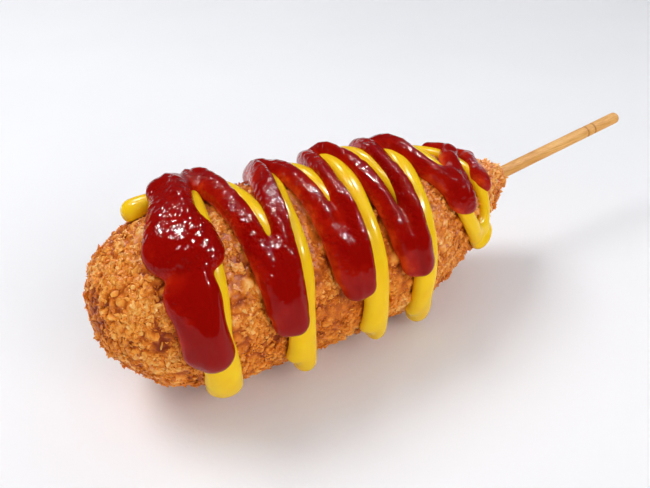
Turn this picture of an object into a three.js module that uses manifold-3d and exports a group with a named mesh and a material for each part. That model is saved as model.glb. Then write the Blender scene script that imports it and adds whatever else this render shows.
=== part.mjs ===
// A corn dog on a bamboo stick, lying on its side, with mustard and ketchup in zigzags over it.
// Millimetres, +Z up. While it is being shaped, the tip of the nose is at x = 0, the crust runs along
// +X to the stick, and the table is z = 0. At the end everything moves together, so that the origin
// is on the table under the middle of the bounding box.
//
// A place on the crust is given by its station, the distance from the nose along X, and its angle
// round the crust in degrees, with 0 on top, 90 on the front flank (-Y) and 180 on the table.

import * as THREE from 'three';
import { mergeVertices } from 'three/addons/utils/BufferGeometryUtils.js';
import Module from 'manifold-3d';

const wasm = await Module();
wasm.setup();

// The crust: a bolster with a blunt nose, which tapers to a neck round the stick.
const CRUST_LENGTH = 150;
const CRUST_RADIUS = 27.5;
const NOSE_LENGTH = 37;
const NOSE_POWER = 2.2;
const NECK_RADIUS = 3.7;
const TAPER_START = 0.6;
const TAPER_POWER = 0.9;
const FLAT_DEPTH = 1.8;
const NOSE_RISE = 6;
const TAIL_RISE = 5.4;
const RISE_START = 0.6;
const TAIL_RISE_POWER = 3;
const LUMP_HEIGHT = 0.5;
const RAGGED_END = 1.2;
const CRUST_RINGS = 30;
const CRUST_SIDES = 24;

// The stick: a straight bamboo rod with two turned grooves and a rounded free end.
const STICK_RADIUS = 2.25;
const STICK_LENGTH = 180;
const STICK_SHOWN = 67;
const STICK_SLOPE = THREE.MathUtils.degToRad(6);
const GROOVE_DEPTH = 0.25;
const GROOVE_WIDTH = 1;
const GROOVES_FROM_END = [19, 15];
const DOME_HEIGHT = 1.6;
const DOME_STEPS = 4;
const STICK_SIDES = 16;

// What touches keeps this gap.
const GAP = 0.3;

// A sauce's zigzag hangs on the front flank as a row of turns, from the nose towards the stick. Each leg
// climbs from a turn to a loop behind the top, and the next leg comes down from it. The legs run side
// by side near a turn, where a pool of sauce joins them and ends as a thick drop.
//   reach              the angle of a turn's lowest point
//   drift              how far a pool's end lies towards the stick
//   upCurve, downCurve how late the leg up to a loop, and the one down from it, leaves its turn's station
//   legGap             from a turn's middle to the middle of each leg
const MUSTARD = {
  turns: [
    { station: 22.5, reach: 133, poolLength: 50, poolHalfWidth: 4.6 },
    { station: 47.5, reach: 131, poolLength: 36, poolHalfWidth: 3.8 },
    { station: 72.5, reach: 129, poolLength: 36, poolHalfWidth: 3.5 },
    { station: 91.5, reach: 135, poolLength: 34, poolHalfWidth: 3.6 },
    { station: 121.5, reach: 108, poolLength: 26, poolHalfWidth: 5 },
  ],
  loops: [
    { station: 38.5, width: 9, backAngle: -34, upCurve: 1.8, downCurve: 1.3 },
    { station: 62, width: 9, backAngle: -34, upCurve: 1.8, downCurve: 1.3 },
    { station: 84.5, width: 9, backAngle: -33, upCurve: 1.8, downCurve: 1 },
    { station: 104, width: 5.5, backAngle: -32, upCurve: 2.6, downCurve: 0.6 },
  ],
  drift: 4,
  legHalfWidth: 3,
  legGap: 0.6,
  height: 3,
  poolHeight: 4.8,
};
const KETCHUP = {
  turns: [
    { station: 19, reach: 97, poolLength: 45, poolHalfWidth: 5 },
    { station: 42.5, reach: 91, poolLength: 50, poolHalfWidth: 5.2 },
    { station: 65, reach: 86, poolLength: 42, poolHalfWidth: 5.2 },
    { station: 86.5, reach: 83, poolLength: 26, poolHalfWidth: 5.2 },
    { station: 113, reach: 53, poolLength: 22, poolHalfWidth: 7.3 },
    { station: 128.5, reach: 50, poolLength: 20, poolHalfWidth: 5.4 },
  ],
  loops: [
    { station: 34.5, width: 8.5, backAngle: -35, upCurve: 1.7, downCurve: 1.6 },
    { station: 59, width: 6.5, backAngle: -34, upCurve: 1.7, downCurve: 1.2 },
    { station: 78, width: 8, backAngle: -32, upCurve: 1.7, downCurve: 0.65 },
    { station: 97, width: 5.5, backAngle: -31, upCurve: 1.7, downCurve: 0.35 },
    { station: 131.5, width: 7, backAngle: -31, upCurve: 1.7, downCurve: 1 },
  ],
  drift: 1,
  legHalfWidth: 3.15,
  legGap: 2.3,
  height: 4.8,
  poolHeight: 5,
};
const SHOULDER_DROP = 18;
const LEG_FOOT_RISE = 12;

// The mustard starts as a tongue that points at the nose, and ends in a loop back over the top, round a
// bare patch of crust. Places are a station and an angle.
const TONGUE = { from: [32, -24], to: [16.5, -24], halfWidth: 3.3 };
const TAIL_LOOP = {
  knots: [[124, 96], [127.5, 62], [126, 20], [122, -12], [116, -27], [108, -29]],
  halfWidth: 2.7,
};

// The ketchup starts as a heap over its first turn: a broad fold, a lobe beside it, a long drop below
// and a hump behind. A curl joins its last loop. Half width and height are at the two ends.
const HEAP = [
  { knots: [[32.5, -34], [17, 43]], halfWidth: [5.5, 7.4], height: [6, 6] },
  { knots: [[27, 14], [25, 45]], halfWidth: [6.5, 7], height: [5, 5] },
  { knots: [[19.5, 43], [22.5, 97]], halfWidth: [6, 5.4], height: [5, 5] },
  { knots: [[38, -38], [40, 2]], halfWidth: [5.5, 3.4], height: [6, 5] },
  { knots: [[121, -33], [127, -10]], halfWidth: [3.4, 3.2], height: [5, 5] },
];

// The sauces run thinner where the crust is slim, down to this share of their size.
const THIN_SHARE = 0.6;

// A bead's section is a dome, whose one corner below stays inside the crust until the cut.
const BEAD_CORNERS = [0, 45, 90, 135, 180, 270];
const BEAD_STEP = 8;

const clamp01 = (value) => THREE.MathUtils.clamp(value, 0, 1);

function crustRadius(station) {
  let radius = CRUST_RADIUS;
  if (station < NOSE_LENGTH) {
    const toTip = 1 - station / NOSE_LENGTH;
    radius *= (1 - toTip ** NOSE_POWER) ** (1 / NOSE_POWER);
  }
  const taper = clamp01((station / CRUST_LENGTH - TAPER_START) / (1 - TAPER_START));
  const drop = (CRUST_RADIUS - NECK_RADIUS) * (1 - Math.cos(Math.PI / 2 * taper ** TAPER_POWER));
  return radius - drop;
}

function centreHeight(station) {
  const share = station / CRUST_LENGTH;
  const nose = clamp01(1 - share / RISE_START) ** 2;
  const tail = clamp01((share - RISE_START) / (1 - RISE_START)) ** TAIL_RISE_POWER;
  return CRUST_RADIUS - FLAT_DEPTH + NOSE_RISE * nose + TAIL_RISE * tail;
}

function lump(station, angle) {
  const long = Math.sin(0.19 * station + 2 * Math.sin(angle));
  const round = Math.sin(3 * angle + 0.11 * station + 1);
  const fine = Math.sin(5 * angle - 0.31 * station);
  const fade = clamp01(station / NOSE_LENGTH) * clamp01((CRUST_LENGTH - station) / NOSE_LENGTH);
  return LUMP_HEIGHT * fade * (long + round + 0.6 * fine) / 2;
}

function surfacePoint(station, angle) {
  const radius = crustRadius(station) + lump(station, angle);
  const height = centreHeight(station) + radius * Math.cos(angle);
  return new THREE.Vector3(station, -radius * Math.sin(angle), height);
}

function surfaceNormal(station, angle) {
  const step = 0.5;
  const before = Math.max(station - step, 0.01);
  const after = Math.min(station + step, CRUST_LENGTH);
  const along = surfacePoint(after, angle).sub(surfacePoint(before, angle));
  const turn = step / CRUST_RADIUS;
  const around = surfacePoint(station, angle + turn).sub(surfacePoint(station, angle - turn));
  return around.cross(along).normalize();
}

// A closed mesh from rings of points, with one point to close each end.
function ringGeometry(rings, firstTip, lastTip) {
  const sides = rings[0].length;
  const positions = [firstTip, ...rings.flat(), lastTip].flatMap((point) => point.toArray());
  const indices = [];
  const last = 1 + rings.length * sides;
  for (let side = 0; side < sides; side++) {
    const next = (side + 1) % sides;
    indices.push(0, 1 + next, 1 + side);
    for (let ring = 0; ring < rings.length - 1; ring++) {
      const a = 1 + ring * sides + side;
      const b = 1 + ring * sides + next;
      indices.push(a, b, a + sides, b, b + sides, a + sides);
    }
    indices.push(last, last - sides + side, last - sides + next);
  }
  const geometry = new THREE.BufferGeometry();
  geometry.setAttribute('position', new THREE.Float32BufferAttribute(positions, 3));
  geometry.setIndex(indices);
  return geometry;
}

function toSolid(geometry) {
  const bare = geometry.clone();
  bare.deleteAttribute('normal');
  bare.deleteAttribute('uv');
  const merged = mergeVertices(bare);
  const vertProperties = new Float32Array(merged.attributes.position.array);
  const triVerts = new Uint32Array(merged.index.array);
  return new wasm.Manifold(new wasm.Mesh({ numProp: 3, vertProperties, triVerts }));
}

function toGeometry(solid) {
  const mesh = solid.getMesh();
  const geometry = new THREE.BufferGeometry();
  geometry.setAttribute('position', new THREE.BufferAttribute(mesh.vertProperties, 3));
  geometry.setIndex(new THREE.BufferAttribute(mesh.triVerts, 1));
  geometry.computeVertexNormals();
  return geometry;
}

// The crust, or with grow the same shape that much larger all round, to cut its neighbours with.
function crustGeometry(grow = 0) {
  const rings = [];
  for (let ring = 1; ring <= CRUST_RINGS; ring++) {
    const station = CRUST_LENGTH * (1 - Math.cos(Math.PI * ring / CRUST_RINGS)) / 2;
    const points = [];
    for (let side = 0; side < CRUST_SIDES; side++) {
      const angle = 2 * Math.PI * side / CRUST_SIDES;
      const point = surfacePoint(station, angle).addScaledVector(surfaceNormal(station, angle), grow);
      if (ring === CRUST_RINGS) {
        point.x += RAGGED_END * Math.sin(3 * angle + 1);
      }
      point.z = Math.max(point.z, -grow);
      points.push(point);
    }
    rings.push(points);
  }
  const nose = new THREE.Vector3(-grow, 0, centreHeight(0));
  const tail = new THREE.Vector3(CRUST_LENGTH, 0, centreHeight(CRUST_LENGTH));
  return ringGeometry(rings, nose, tail);
}

// A rod along the stick's line, from its buried end (0) to its free end.
function placeAlongStick(geometry) {
  geometry.rotateZ(-Math.PI / 2);
  geometry.translate(STICK_SHOWN - STICK_LENGTH, 0, 0);
  geometry.rotateY(-STICK_SLOPE);
  geometry.translate(CRUST_LENGTH, 0, centreHeight(CRUST_LENGTH));
  return geometry;
}

function stickGeometry() {
  const profile = [[0, 0], [STICK_RADIUS, 0]];
  for (const fromEnd of GROOVES_FROM_END) {
    const middle = STICK_LENGTH - fromEnd;
    profile.push([STICK_RADIUS, middle - GROOVE_WIDTH / 2], [STICK_RADIUS - GROOVE_DEPTH, middle]);
    profile.push([STICK_RADIUS, middle + GROOVE_WIDTH / 2]);
  }
  for (let step = 0; step < DOME_STEPS; step++) {
    const turn = Math.PI / 2 * step / DOME_STEPS;
    const height = STICK_LENGTH - DOME_HEIGHT * (1 - Math.sin(turn));
    profile.push([STICK_RADIUS * Math.cos(turn), height]);
  }
  profile.push([0, STICK_LENGTH]);
  const points = profile.map(([radius, height]) => new THREE.Vector2(radius, height));
  return placeAlongStick(new THREE.LatheGeometry(points, STICK_SIDES));
}

function stickHoleGeometry() {
  const radius = STICK_RADIUS + GAP;
  const points = [[0, -GAP], [radius, -GAP], [radius, STICK_LENGTH], [0, STICK_LENGTH]];
  const profile = points.map(([across, height]) => new THREE.Vector2(across, height));
  return placeAlongStick(new THREE.LatheGeometry(profile, STICK_SIDES));
}

// A place on the crust as a flat point: its station, and its arc round the crust in millimetres.
function spot(station, degrees) {
  return new THREE.Vector2(station, THREE.MathUtils.degToRad(degrees) * CRUST_RADIUS);
}

// One bead of sauce along a flat path, with round ends. Its half width and height go evenly from one
// number to the other. The crust is cut out of it afterwards.
function beadGeometry({ path, halfWidth, height }, grow) {
  const length = path.getLength();
  const cap = Math.min((halfWidth[0] + halfWidth[1]) / 2, length / 2);
  const places = [0.1 * cap, 0.4 * cap];
  const steps = Math.max(1, Math.round((length - 2 * cap) / BEAD_STEP));
  for (let step = 0; step <= steps; step++) {
    places.push(cap + (length - 2 * cap) * step / steps);
  }
  places.push(length - 0.4 * cap, length - 0.1 * cap);
  const rings = places.map((place) => {
    const { centre, normal, side } = beadFrame(path, place / length);
    const slim = THREE.MathUtils.lerp(THIN_SHARE, 1, crustRadius(centre.x) / CRUST_RADIUS);
    const toEnd = Math.min(place, length - place, cap) / cap;
    const size = slim * Math.sqrt(1 - (1 - toEnd) ** 2);
    const across = THREE.MathUtils.lerp(...halfWidth, place / length) * size + grow;
    const up = THREE.MathUtils.lerp(...height, place / length) * size + grow;
    return BEAD_CORNERS.map((corner) => {
      const turn = THREE.MathUtils.degToRad(corner);
      const point = centre.clone().addScaledVector(side, across * Math.cos(turn));
      return point.addScaledVector(normal, up * Math.sin(turn));
    });
  });
  const start = beadFrame(path, 0);
  const end = beadFrame(path, 1);
  start.centre.addScaledVector(start.forward, -grow);
  end.centre.addScaledVector(end.forward, grow);
  return ringGeometry(rings, start.centre, end.centre);
}

// Where a bead's middle is at one share of its path, and which way it runs.
function beadFrame(path, share) {
  const step = 0.01;
  const at = (place) => {
    const flat = path.getPointAt(clamp01(place));
    return [flat.x, flat.y / CRUST_RADIUS];
  };
  const normal = surfaceNormal(...at(share));
  const forward = surfacePoint(...at(share + step)).sub(surfacePoint(...at(share - step))).normalize();
  const side = normal.clone().cross(forward).normalize();
  return { centre: surfacePoint(...at(share)), normal, side, forward };
}

// The arch from one turn to the next: up a leg, round the loop behind the top, and down a leg.
function archPath({ turns, loops, legGap }, index) {
  const loop = loops[index];
  const shoulder = loop.backAngle + SHOULDER_DROP;
  const leg = (turn, gap, top, curve) => (share) => {
    const station = THREE.MathUtils.lerp(turn.station + gap, top, share ** curve);
    return spot(station, THREE.MathUtils.lerp(turn.reach - LEG_FOOT_RISE, shoulder, share));
  };
  const up = leg(turns[index], legGap, loop.station - loop.width / 2, loop.upCurve);
  const down = leg(turns[index + 1], -legGap, loop.station + loop.width / 2, loop.downCurve);
  const climb = [0, 1 / 3, 2 / 3, 1];
  return new THREE.SplineCurve([
    ...climb.map(up),
    spot(loop.station, loop.backAngle),
    ...climb.map(down).reverse(),
  ]);
}

// A bead through places on the crust. Half width and height are one number, or one for each end.
function knotBead({ knots, halfWidth, height }) {
  const both = (size) => (Array.isArray(size) ? size : [size, size]);
  const path = new THREE.SplineCurve(knots.map((knot) => spot(...knot)));
  return { path, halfWidth: both(halfWidth), height: both(height) };
}

function poolBead({ drift, height, poolHeight }, { station, reach, poolLength, poolHalfWidth }) {
  const knots = [[station, reach - poolLength], [station + drift, reach]];
  return knotBead({ knots, halfWidth: poolHalfWidth, height: [height, poolHeight] });
}

function zigzagBeads(sauce) {
  const { turns, loops, legHalfWidth, height } = sauce;
  const arches = loops.map((loop, index) => ({
    path: archPath(sauce, index),
    halfWidth: [legHalfWidth, legHalfWidth],
    height: [height, height],
  }));
  return [...turns.map((turn) => poolBead(sauce, turn)), ...arches];
}

function mustardBeads() {
  const { turns, height, poolHeight, legHalfWidth } = MUSTARD;
  const firstPool = [turns[0].station, turns[0].reach - turns[0].poolLength];
  return [
    ...zigzagBeads(MUSTARD),
    knotBead({ knots: [TONGUE.from, TONGUE.to], halfWidth: TONGUE.halfWidth, height: [height, poolHeight] }),
    knotBead({ knots: [TONGUE.from, firstPool], halfWidth: legHalfWidth, height }),
    knotBead({ ...TAIL_LOOP, height }),
  ];
}

function ketchupBeads() {
  return [...zigzagBeads(KETCHUP), ...HEAP.map(knotBead)];
}

function sauceSolid(beads, grow = 0) {
  const solids = beads.map((bead) => toSolid(beadGeometry(bead, grow)));
  return solids.reduce((whole, next) => whole.add(next));
}

function namedMesh(name, geometry, color, roughness) {
  const material = new THREE.MeshStandardMaterial({ color, roughness, metalness: 0 });
  const mesh = new THREE.Mesh(geometry, material);
  mesh.name = name;
  return mesh;
}

const crust = toSolid(crustGeometry()).subtract(toSolid(stickHoleGeometry()));
const crustGrown = toSolid(crustGeometry(GAP));
const mustard = sauceSolid(mustardBeads()).subtract(crustGrown);
// Inside its tight loops the grown mustard folds over itself, so the mustard is added to it.
const mustardGrown = sauceSolid(mustardBeads(), GAP).add(mustard);
const ketchup = sauceSolid(ketchupBeads()).subtract(crustGrown).subtract(mustardGrown);

const cornDog = new THREE.Group();
cornDog.add(namedMesh('crust', toGeometry(crust), 0xc47a2c, 0.85));
cornDog.add(namedMesh('stick', stickGeometry(), 0xd9a566, 0.6));
cornDog.add(namedMesh('mustard', toGeometry(mustard), 0xf2c81e, 0.3));
cornDog.add(namedMesh('ketchup', toGeometry(ketchup), 0xa30d08, 0.15));

const bounds = new THREE.Box3().setFromObject(cornDog, true);
const middle = bounds.getCenter(new THREE.Vector3());
cornDog.position.set(-middle.x, -middle.y, -bounds.min.z);

export default cornDog;
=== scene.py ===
"""The looks of a corn dog that lies on its side, with mustard and ketchup in zigzags over it.

The corn dog's lengths are in millimetres, as in the CAD source, and become metres in make_mesh. The
camera, the lights and the floor are in metres.

A place on the crust is its station, the distance from the nose along X, and its angle round the crust,
with 0 on top, 90 degrees on the front flank (-Y) and 180 on the table. Sauce is shaped on the unrolled
crust, where a point is (station, arc, height): arc is the angle as a length round the crust's widest
place, and height is how far the point is off the crust.
"""

import itertools
import math

import bpy
import numpy as np
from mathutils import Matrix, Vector


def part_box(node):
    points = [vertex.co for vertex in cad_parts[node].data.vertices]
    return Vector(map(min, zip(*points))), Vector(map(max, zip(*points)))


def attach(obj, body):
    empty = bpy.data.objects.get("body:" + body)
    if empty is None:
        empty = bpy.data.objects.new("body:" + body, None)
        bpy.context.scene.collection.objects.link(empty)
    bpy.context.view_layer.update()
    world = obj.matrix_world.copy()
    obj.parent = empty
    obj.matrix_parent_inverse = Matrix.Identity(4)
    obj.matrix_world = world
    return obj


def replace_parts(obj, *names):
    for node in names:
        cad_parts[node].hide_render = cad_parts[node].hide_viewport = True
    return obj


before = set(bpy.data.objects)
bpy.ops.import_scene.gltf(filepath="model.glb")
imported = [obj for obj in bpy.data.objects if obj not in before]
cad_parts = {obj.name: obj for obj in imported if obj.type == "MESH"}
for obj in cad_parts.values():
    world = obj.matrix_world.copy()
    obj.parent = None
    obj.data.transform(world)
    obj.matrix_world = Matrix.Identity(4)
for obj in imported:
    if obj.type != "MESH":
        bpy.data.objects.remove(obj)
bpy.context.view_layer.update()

MM = 0.001

# ---------------------------------------------------------------- the same sizes as the CAD model's
CRUST_LENGTH = 150
CRUST_RADIUS = 27.5
NOSE_LENGTH = 37
NOSE_POWER = 2.2
NECK_RADIUS = 3.7
TAPER_START = 0.6
TAPER_POWER = 0.9
FLAT_DEPTH = 1.8
NOSE_RISE = 6
TAIL_RISE = 5.4
RISE_START = 0.6
TAIL_RISE_POWER = 3
LUMP_HEIGHT = 0.5

STICK_RADIUS = 2.25
STICK_LENGTH = 180
STICK_SHOWN = 67
STICK_SLOPE = math.radians(6)
GROOVE_DEPTH = 0.25
GROOVE_WIDTH = 1
GROOVES_FROM_END = (19, 15)
DOME_HEIGHT = 1.6

# A zigzag has a turn wherever it hangs lowest on the front flank, with a pool of sauce in it, and between
# two turns a loop behind the top. Each list has one number for each turn, or one for each loop.
#   reach                 the angle of a turn's lowest point
#   drift                 how far a pool's end lies towards the stick
#   up_curve, down_curve  how late the leg up to a loop, and the one down from it, leaves its turn's station
#   leg_gap               from a turn's middle to the middle of each leg
MUSTARD = dict(
    turns=(22.5, 47.5, 72.5, 91.5, 121.5), reach=(133, 131, 129, 135, 108),
    pool_length=(50, 36, 36, 34, 26), pool_half_width=(4.6, 3.8, 3.5, 3.6, 5), drift=4,
    loops=(38.5, 62, 84.5, 104), loop_width=(9, 9, 9, 5.5), back_angle=(-34, -34, -33, -32),
    up_curve=(1.8, 1.8, 1.8, 2.6), down_curve=(1.3, 1.3, 1, 0.6),
    leg_half_width=3, leg_gap=0.6, height=3, pool_height=4.8,
)
KETCHUP = dict(
    turns=(19, 42.5, 65, 86.5, 113, 128.5), reach=(97, 91, 86, 83, 53, 50),
    pool_length=(45, 50, 42, 26, 22, 20), pool_half_width=(5, 5.2, 5.2, 5.2, 7.3, 5.4), drift=1,
    loops=(34.5, 59, 78, 97, 131.5), loop_width=(8.5, 6.5, 8, 5.5, 7), back_angle=(-35, -34, -32, -31, -31),
    up_curve=(1.7, 1.7, 1.7, 1.7, 1.7), down_curve=(1.6, 1.2, 0.65, 0.35, 1),
    leg_half_width=3.15, leg_gap=2.3, height=4.8, pool_height=5,
)
SHOULDER_DROP = 18
LEG_FOOT_RISE = 12
# The mustard starts as a tongue that points at the nose, and ends in a loop back over the top.
TONGUE = dict(from_station=32, to_station=16.5, angle=-24, half_width=3.3)
TAIL_LOOP = dict(
    knots=((124, 96), (127.5, 62), (126, 20), (122, -12), (116, -27), (108, -29)),
    half_width=2.7,
)
# The ketchup's heap at the nose: a broad fold, a lobe beside it, a long drop below and a hump behind.
# The last bead is the curl at the tail. A half width or a height is one number, or one for each end.
HEAP = (
    dict(start=(32.5, -34), end=(17, 43), half_width=(5.5, 7.4), height=6),
    dict(start=(27, 14), end=(25, 45), half_width=(6.5, 7), height=5),
    dict(start=(19.5, 43), end=(22.5, 97), half_width=(6, 5.4), height=5),
    dict(start=(38, -38), end=(40, 2), half_width=(5.5, 3.4), height=(6, 5)),
    dict(start=(121, -33), end=(127, -10), half_width=(3.4, 3.2), height=(5, 5)),
)
# The sauces run thinner where the crust is slim, down to this share of their size.
THIN_SHARE = 0.6

# ---------------------------------------------------------------- where the CAD model stands
crust_low, crust_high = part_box("crust")
stick_low, stick_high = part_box("stick")
AXIS_Y = (stick_low.y + stick_high.y) / 2
ORIGIN = np.array([crust_low.x, AXIS_Y, 0.0]) / MM


# ---------------------------------------------------------------- noise
CELL_PRIMES = np.array([73856093, 19349663, 83492791])
SEED_STEP = 2654435
MIXING_ROUNDS = ((13, 1274126177), (16, 668265263))
LARGEST = 0x7FFFFFFF
CENTRE_SCATTER = 0.45


def rise(value, start, end):
    """From 0 at the start to 1 at the end, and level before and after."""
    return np.clip((value - start) / (end - start), 0, 1)


def corner_value(cells, seed):
    """A number from -1 to 1 that depends on a whole-numbered cell and the seed."""
    mixed = cells.astype(np.int64) @ CELL_PRIMES + seed * SEED_STEP
    for shift, prime in MIXING_ROUNDS:
        mixed = (mixed ^ (mixed >> shift)) * prime & LARGEST
    return mixed / (LARGEST // 2) - 1.0


def noise(points, size, seed):
    """Smooth noise from -1 to 1 at 3-D points, with features of about that size."""
    scaled = np.asarray(points, float) / size
    cells = np.floor(scaled)
    part = scaled - cells
    part = part * part * (3 - 2 * part)
    total = 0
    for corner in itertools.product((0, 1), repeat=3):
        x, y, z = np.abs(1 - np.array(corner) - part).T
        total = total + x * y * z * corner_value(cells + corner, seed)
    return total


def layered(points, layers):
    """The sum of some noises, each with its strength, its size and its seed."""
    return sum(strength * noise(points, size, seed) for strength, size, seed in layers)


def clumps(points, size, seed):
    """Cell noise: the distance to the nearest and the second nearest of scattered centres that lie
    about that size apart, in parts of the size."""
    scaled = np.asarray(points, float) / size
    cells = np.floor(scaled)
    first = np.full(len(scaled), np.inf)
    second = np.full(len(scaled), np.inf)
    for neighbour in itertools.product((-1, 0, 1), repeat=3):
        cell = cells + neighbour
        centre = np.stack([corner_value(cell, seed + axis) for axis in (0, 1, 2)], -1)
        gap = np.linalg.norm(cell + 0.5 + CENTRE_SCATTER * centre - scaled, axis=1)
        second = np.minimum(second, np.maximum(gap, first))
        first = np.minimum(first, gap)
    return first, second


# ---------------------------------------------------------------- the crust's form
def crust_radius(station):
    station = np.asarray(station, float)
    to_tip = np.clip(1 - station / NOSE_LENGTH, 0, 1)
    radius = CRUST_RADIUS * (1 - to_tip**NOSE_POWER) ** (1 / NOSE_POWER)
    taper = rise(station / CRUST_LENGTH, TAPER_START, 1)
    drop = (CRUST_RADIUS - NECK_RADIUS) * (1 - np.cos(math.pi / 2 * taper**TAPER_POWER))
    return radius - drop


def centre_height(station):
    share = np.asarray(station, float) / CRUST_LENGTH
    nose = np.clip(1 - share / RISE_START, 0, 1) ** 2
    tail = rise(share, RISE_START, 1) ** TAIL_RISE_POWER
    return CRUST_RADIUS - FLAT_DEPTH + NOSE_RISE * nose + TAIL_RISE * tail


def lump(station, angle):
    """Low unevenness from three sets of waves, which fades towards both ends."""
    long = np.sin(0.19 * station + 2 * np.sin(angle))
    round_ = np.sin(3 * angle + 0.11 * station + 1)
    fine = np.sin(5 * angle - 0.31 * station)
    fade = np.clip(station / NOSE_LENGTH, 0, 1) * np.clip((CRUST_LENGTH - station) / NOSE_LENGTH, 0, 1)
    return LUMP_HEIGHT * fade * (long + round_ + 0.6 * fine) / 2


def surface_point(station, angle):
    """Points on the crust, in the CAD source's place, before it is moved to the frame's origin."""
    radius = crust_radius(station) + lump(station, angle)
    across = -radius * np.sin(angle)
    up = centre_height(station) + radius * np.cos(angle)
    return np.stack([station + 0 * angle, across, up], -1)


def surface_normal(station, angle):
    step = 0.5
    tip = 0.01
    before = np.maximum(station - step, tip)
    after = np.minimum(station + step, CRUST_LENGTH)
    along = surface_point(after, angle) - surface_point(before, angle)
    turn = step / CRUST_RADIUS
    around = surface_point(station, angle + turn) - surface_point(station, angle - turn)
    normal = np.cross(around, along)
    return normal / np.linalg.norm(normal, axis=-1, keepdims=True)


# ---------------------------------------------------------------- meshes
def make_mesh(name, points, faces, material, attributes=(), smooth=True):
    """A piece from points in millimetres and faces with three or four corners each."""
    places = (np.asarray(points) + ORIGIN) * MM
    corners = faces.shape[1]
    mesh = bpy.data.meshes.new(name)
    mesh.vertices.add(len(places))
    mesh.vertices.foreach_set("co", places.astype(np.float32).ravel())
    mesh.loops.add(faces.size)
    mesh.loops.foreach_set("vertex_index", faces.astype(np.int32).ravel())
    mesh.polygons.add(len(faces))
    mesh.polygons.foreach_set("loop_start", np.arange(0, faces.size, corners, dtype=np.int32))
    mesh.polygons.foreach_set("use_smooth", np.full(len(faces), smooth))
    mesh.update(calc_edges=True)
    for key, values in attributes:
        attribute = mesh.attributes.new(key, "FLOAT", "POINT")
        attribute.data.foreach_set("value", np.asarray(values, np.float32))
    mesh.validate()
    piece = bpy.data.objects.new(name, mesh)
    bpy.context.scene.collection.objects.link(piece)
    mesh.materials.append(material)
    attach(piece, "root")
    return piece


def ring_faces(rings, sides):
    """Triangles for a closed form: a first tip, rings of points, and a last tip."""
    side = np.arange(sides)
    after = (side + 1) % sides
    start = (1 + np.arange(rings - 1) * sides)[:, None]
    a = start + side
    b = start + after
    lower = np.stack([a, b, a + sides], -1).reshape(-1, 3)
    upper = np.stack([b, b + sides, a + sides], -1).reshape(-1, 3)
    last = 1 + rings * sides
    first_fan = np.stack([0 * side, 1 + after, 1 + side], -1)
    last_fan = np.stack([last + 0 * side, last - sides + side, last - sides + after], -1)
    return np.concatenate([first_fan, lower, upper, last_fan])


def surface_net(field):
    """The surface where a 3-D grid of numbers is 0, with more than 0 inside, as points in grid steps
    and faces with four corners."""
    inside = field > 0
    shape = tuple(n - 1 for n in field.shape)
    corners = list(itertools.product((0, 1), repeat=3))

    def at_corner(grid, corner):
        return grid[tuple(slice(c, c + n) for c, n in zip(corner, shape))]

    filled = sum(at_corner(inside, corner).astype(np.int8) for corner in corners)
    mixed = (filled > 0) & (filled < 8)
    index = np.full(shape, -1, np.int64)
    index[mixed] = np.arange(mixed.sum())
    values = {corner: at_corner(field, corner)[mixed].astype(float) for corner in corners}
    total = np.zeros((int(mixed.sum()), 3))
    count = np.zeros(len(total))
    for low in corners:
        for axis in range(3):
            if low[axis]:
                continue
            high = tuple(1 if i == axis else c for i, c in enumerate(low))
            crosses = (values[low] > 0) != (values[high] > 0)
            share = values[low][crosses] / (values[low][crosses] - values[high][crosses])
            step = np.zeros((len(share), 3))
            step[:, axis] = share
            total[crosses] += np.array(low, float) + step
            count[crosses] += 1
    points = total / count[:, None] + np.argwhere(mixed)
    quads = []
    for axis in range(3):
        one, two = (axis + 1) % 3, (axis + 2) % 3
        low = [slice(1, n) for n in shape]
        low[axis] = slice(0, shape[axis])
        high = list(low)
        high[axis] = slice(1, shape[axis] + 1)
        starts = inside[tuple(low)]
        ends = inside[tuple(high)]
        for crosses, turned in ((starts & ~ends, False), (~starts & ends, True)):
            cell = np.argwhere(crosses)
            cell[:, one] += 1
            cell[:, two] += 1
            ring = []
            for back_one, back_two in ((1, 1), (0, 1), (0, 0), (1, 0)):
                near = cell.copy()
                near[:, one] -= back_one
                near[:, two] -= back_two
                ring.append(index[near[:, 0], near[:, 1], near[:, 2]])
            quad = np.stack(ring, -1)
            quads.append(quad[:, ::-1] if turned else quad)
    return points, np.concatenate(quads)


def relax(points, faces, rounds, strength=0.5):
    """Evens out a mesh's small steps: each point moves towards the middle of its neighbours."""
    starts = faces.ravel()
    ends = np.roll(faces, -1, axis=1).ravel()
    both = np.concatenate([starts, ends])
    others = np.concatenate([ends, starts])
    count = np.bincount(both, minlength=len(points))[:, None]
    for _ in range(rounds):
        sums = [np.bincount(both, points[others, axis], len(points)) for axis in range(3)]
        points = points + strength * (np.stack(sums, -1) / count - points)
    return points


# ---------------------------------------------------------------- the sauces' paths
def spot(station, degrees):
    """A place on the crust as a point of the unrolled crust."""
    return np.array([station, math.radians(degrees) * CRUST_RADIUS])


def spline(knots, step=0.6, samples=60, fewest=4):
    """A smooth curve through the knots, as points that lie about one step apart."""
    knots = np.array(knots, float)
    padded = np.concatenate([knots[:1], knots, knots[-1:]])
    share = np.linspace(0, 1, samples, endpoint=False)[:, None]
    curve = []
    for i in range(len(knots) - 1):
        p0, p1, p2, p3 = padded[i : i + 4]
        leave, arrive = (p2 - p0) / 2, (p3 - p1) / 2
        cubic = (2 * p1 - 2 * p2 + leave + arrive) * share**3
        square = (-3 * p1 + 3 * p2 - 2 * leave - arrive) * share**2
        curve.append(cubic + square + leave * share + p1)
    curve = np.concatenate([*curve, knots[-1:]])
    lengths = np.concatenate([[0], np.cumsum(np.linalg.norm(np.diff(curve, axis=0), axis=1))])
    places = np.linspace(0, lengths[-1], max(fewest, int(lengths[-1] / step)))
    return np.stack([np.interp(places, lengths, curve[:, axis]) for axis in (0, 1)], -1)


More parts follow.
